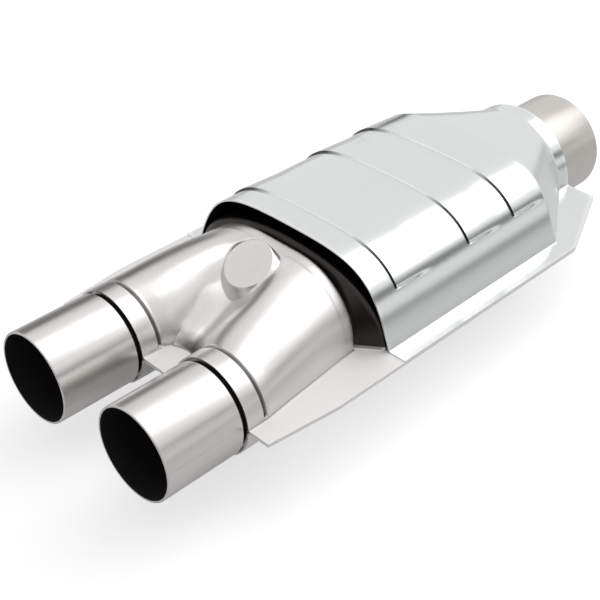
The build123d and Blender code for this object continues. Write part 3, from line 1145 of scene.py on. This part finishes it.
def shield_steel(colours):
    """Bright aluminised sheet, with the steps of the ribs light on the top and shaded on the shoulders."""
    # A strong share of the edge colour paints a highlight along the ribs' edges
    material, shader, add, base = metal("aluminised_sheet", colours.shield, 0.19, 0.008, 0.006, 0.9)
    if shader is None:
        return material
    places = object_axes(add)
    level = remap(add, maths(add, "ABSOLUTE", places[0]), *RIB_SHOULDER, *RIB_TONES)
    grey = add("CombineColor", {0: level, 1: level, 2: level}).outputs[0]
    foot = FLANGE + bpy.context.scene.converter_shield.rib_foot
    above = remap(add, places[2], foot, foot + 0.5 * MM, 0, 1)
    for rib in RIB_PLACES:
        away = maths(add, "ABSOLUTE", maths(add, "SUBTRACT", places[1], MOUTHS + rib))
        base = blend_colours(add, remap(add, away, *RIB_LINE, above, 0), base, grey)
    feed(shader, {"Base Color": base})
    return material


def painted_shade_steel(colours):
    """Steel painted near black as shade: the inner side of the sheets and pipes and the floor of the pipes'
    ring grooves.
    """
    material, shader, add = new_material("shade_painted_steel")
    if shader is None:
        return material
    grain = streaks(add, 300.0, 40.0)
    tone = blend_colours(add, grain, colours.painted_shade, scaled(colours.painted_shade, 1.8))
    rough = remap(add, grain, 0.3, 0.7, 0.6, 0.85)
    feed(shader, {"Base Color": tone, "Roughness": rough, "Specular IOR Level": 0.2})
    return material


def honeycomb(colours):
    """Coated ceramic with rows of fine cells that show on its ends, their openings painted near black as
    shade.
    """
    material, shader, add = new_material("coated_ceramic")
    if shader is None:
        return material
    facing = {"Vector": object_places(add), "Scale": (1, 0, 1), "Rotation": (math.pi / 2, 0, 0)}
    grid = {"Scale": 780.0, "Mortar Size": 0.12, "Brick Width": 1.0, "Row Height": 1.0}
    grid["Vector"] = add("Mapping", facing).outputs[0]
    walls = add("TexBrick", grid, offset=0.0, squash=1.0).outputs["Fac"]
    # The cells' openings are painted near black: painted shade down the channels
    tone = blend_colours(add, walls, scaled(colours.ceramic, 0.06), colours.ceramic)
    feed(shader, {"Base Color": tone, "Normal": raised(add, walls, 0.5, 0.3 * MM), "Roughness": 0.9})
    return material


def fibre(colours):
    """Dense fibre mat, flecked and a little uneven."""
    material, shader, add = new_material("fibre_mat")
    if shader is None:
        return material
    fleck = streaks(add, 900.0, 500.0, 8.0)
    tone = blend_colours(add, fleck, scaled(colours.mat, 0.75), colours.mat)
    feed(shader, {"Base Color": tone, "Normal": raised(add, fleck, 0.6, 0.3 * MM), "Roughness": 0.95})
    return material


def knitted_wire(colours):
    """Knitted wire, with a fine crossing of bright loops over gaps painted darker as shade."""
    material, shader, add = new_material("knitted_wire")
    if shader is None:
        return material
    loops = add("TexVoronoi", {"Vector": object_places(add), "Scale": 900.0})
    gap = remap(add, loops.outputs["Distance"], 0.2, 0.6, 0, 1)
    # Gaps between the loops are painted darker: painted shade
    tone = blend_colours(add, gap, colours.wire, scaled(colours.wire, 0.25))
    relief = raised(add, gap, 0.6, 0.2 * MM)
    feed(shader, {"Base Color": tone, "Normal": relief, "Metallic": 1.0, "Roughness": 0.4})
    return material


class CONVERTER_OT_finish_core(bpy.types.Operator):
    """Give the bricks, their mats and their wire seals a finish"""

    bl_idname = "converter.finish_core"
    bl_label = "Finish Core"

    def execute(self, context):
        colours = context.scene.converter_finishes
        finishes = {"_brick": honeycomb, "_mat": fibre, "_seal_": knitted_wire}
        for name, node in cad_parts.items():
            for word, finish in finishes.items():
                if word in name:
                    node.data.materials.clear()
                    node.data.materials.append(finish(colours))
        return {"FINISHED"}


# Stage

CAMERA_PLACE = (391.27 * MM, MOUTHS - 244.58 * MM, FLANGE + 391.64 * MM)
CAMERA_DOWN = math.radians(35.8)
CAMERA_ROUND = math.radians(45)
CAMERA_LENS = 75.1
CAMERA_SENSOR = 36


def make_camera():
    """Camera beside the inlets, looking down at the converter."""
    data = bpy.data.cameras.new("camera")
    data.lens = CAMERA_LENS
    data.sensor_width = CAMERA_SENSOR
    camera = bpy.data.objects.new("camera", data)
    camera.location = CAMERA_PLACE
    camera.rotation_euler = (math.pi / 2 - CAMERA_DOWN, 0, CAMERA_ROUND)
    bpy.context.scene.collection.objects.link(camera)
    bpy.context.scene.camera = camera


def make_lamp(name, place, width, height, power):
    """Soft box at this place, aimed at the middle of the object."""
    data = bpy.data.lights.new(name, "AREA")
    data.shape = "RECTANGLE"
    data.size = width
    data.size_y = height
    data.energy = power
    lamp = bpy.data.objects.new(name, data)
    lamp.location = place
    aim = Vector((0, 0, FLANGE)) - Vector(place)
    lamp.rotation_euler = aim.to_track_quat("-Z", "Y").to_euler()
    bpy.context.scene.collection.objects.link(lamp)


WHITE = (1, 1, 1, 1)
WORLD_LIGHT = 0.55
FLOOR_SIZE = 12.0
FLOOR_LIFT = 0.20
FLOOR_CAMERA_LIFT = 0.38

# Grey cards at the object's sides and front: name, place, width, height and grey
CARDS = (
    ("left front card", (-0.45, 0.06, 0.18), 0.30, 0.24, 0.08),
    ("left rear card", (-0.45, 0.495, 0.105), 0.10, 0.09, 0.08),
    ("right high card", (0.55, 0.40, 0.28), 1.10, 0.12, 0.25),
    ("right low card", (0.55, 0.40, 0.06), 1.10, 0.04, 0.20),
    ("front card", (0.62, -0.85, 0.30), 1.0, 0.60, 0.06),
)


def seen_directly(add):
    """The light path, and 1 for what the camera sees directly, in a reflection or through glass."""
    path = add("LightPath")
    seen = path.outputs["Is Camera Ray"]
    for kind in ("Is Glossy Ray", "Is Transmission Ray"):
        seen = maths(add, "MAXIMUM", seen, path.outputs[kind])
    return path, seen


def make_world():
    """Pale studio: white where it is seen, plain soft light elsewhere."""
    world = bpy.data.worlds.new("studio")
    bpy.context.scene.world = world
    world.use_nodes = True
    add = node_adder(world.node_tree)
    strength = remap(add, seen_directly(add)[1], 0, 1, WORLD_LIGHT, 1.0)
    feed(world.node_tree.nodes["Background"], {"Color": WHITE, "Strength": strength})


def make_floor(colours):
    """Pale floor that looks white where it is lit and keeps the object's shadow."""
    clear_selection()
    bpy.ops.mesh.primitive_plane_add(size=FLOOR_SIZE, location=(0, 0, 0))
    floor = bpy.context.active_object
    floor.name = floor.data.name = "floor"
    material, shader, add = new_material("pale_floor")
    speckle = noise(add, object_places(add), 60.0, 5.0)
    tone = blend_colours(add, speckle, scaled(colours.floor, 0.99), colours.floor)
    feed(shader, {"Base Color": tone, "Roughness": 0.9, "Specular IOR Level": 0.0})
    path, seen = seen_directly(add)
    lift = remap(add, seen, 0, 1, 0.0, FLOOR_LIFT)
    more = remap(add, path.outputs["Is Camera Ray"], 0, 1, 0.0, FLOOR_CAMERA_LIFT)
    feed(shader, {"Emission Color": WHITE, "Emission Strength": maths(add, "ADD", lift, more)})
    floor.data.materials.append(material)


def make_card(name, place, width, height, grey):
    """Grey card beside the object that only its reflections show."""
    clear_selection()
    bpy.ops.mesh.primitive_plane_add(size=1.0)
    card = bpy.context.active_object
    card.name = card.data.name = name.replace(" ", "_")
    aside = abs(place[0]) > abs(place[1]) or place[1] > 0
    aim = Vector((-place[0], 0, 0)) if aside else Vector((0, 1, 0))
    turn = aim.to_track_quat("Z", "Y").to_matrix().to_4x4()
    stretch = Matrix.Diagonal((width, height, 1, 1))
    card.data.transform(Matrix.Translation(place) @ turn @ stretch)
    material, shader, _ = new_material(name)
    feed(shader, {"Base Color": (grey, grey, grey, 1), "Roughness": 1.0, "Specular IOR Level": 0.0})
    card.data.materials.append(material)
    card.visible_camera = False
    card.visible_shadow = False
    card.visible_diffuse = False


class CONVERTER_OT_set_stage(bpy.types.Operator):
    """Set the pale floor, the soft lights and the camera"""

    bl_idname = "converter.set_stage"
    bl_label = "Set Stage"

    def execute(self, context):
        scene = context.scene
        scene.view_settings.view_transform = "Standard"
        make_camera()
        make_world()
        make_floor(scene.converter_finishes)
        make_lamp("overhead box", (0.17, 0.42, 0.93), 0.84, 1.50, 5.3)
        for card in CARDS:
            make_card(*card)
        return {"FINISHED"}


class CONVERTER_PT_panel(bpy.types.Panel):
    """Sizes, colours and steps of the converter's finish"""

    bl_idname = "CONVERTER_PT_panel"
    bl_label = "Catalytic Converter"
    bl_space_type = "VIEW_3D"
    bl_region_type = "UI"
    bl_category = "Converter"

    def draw(self, context):
        for step in STEPS:
            self.layout.operator(step.bl_idname)
        for name in SETTINGS:
            box = self.layout.box()
            group = getattr(context.scene, name)
            for key in group.__annotations__:
                box.prop(group, key)


STEPS = (
    CONVERTER_OT_set_stage,
    CONVERTER_OT_press_can,
    CONVERTER_OT_press_shield,
    CONVERTER_OT_spin_pipes,
    CONVERTER_OT_finish_core,
)
SETTINGS = {
    "converter_can": CanSizes,
    "converter_shield": ShieldSizes,
    "converter_pipes": PipeSizes,
    "converter_finishes": Finishes,
}
CLASSES = (*SETTINGS.values(), *STEPS, CONVERTER_PT_panel)


def register():
    for item in CLASSES:
        bpy.utils.register_class(item)
    for name, group in SETTINGS.items():
        setattr(bpy.types.Scene, name, PointerProperty(type=group))


def unregister():
    for name in SETTINGS:
        delattr(bpy.types.Scene, name)
    for item in reversed(CLASSES):
        bpy.utils.unregister_class(item)


def main():
    register()
    bpy.ops.converter.set_stage()
    bpy.ops.converter.press_can()
    bpy.ops.converter.press_shield()
    bpy.ops.converter.spin_pipes()
    bpy.ops.converter.finish_core()


if __name__ == "__main__":
    main()
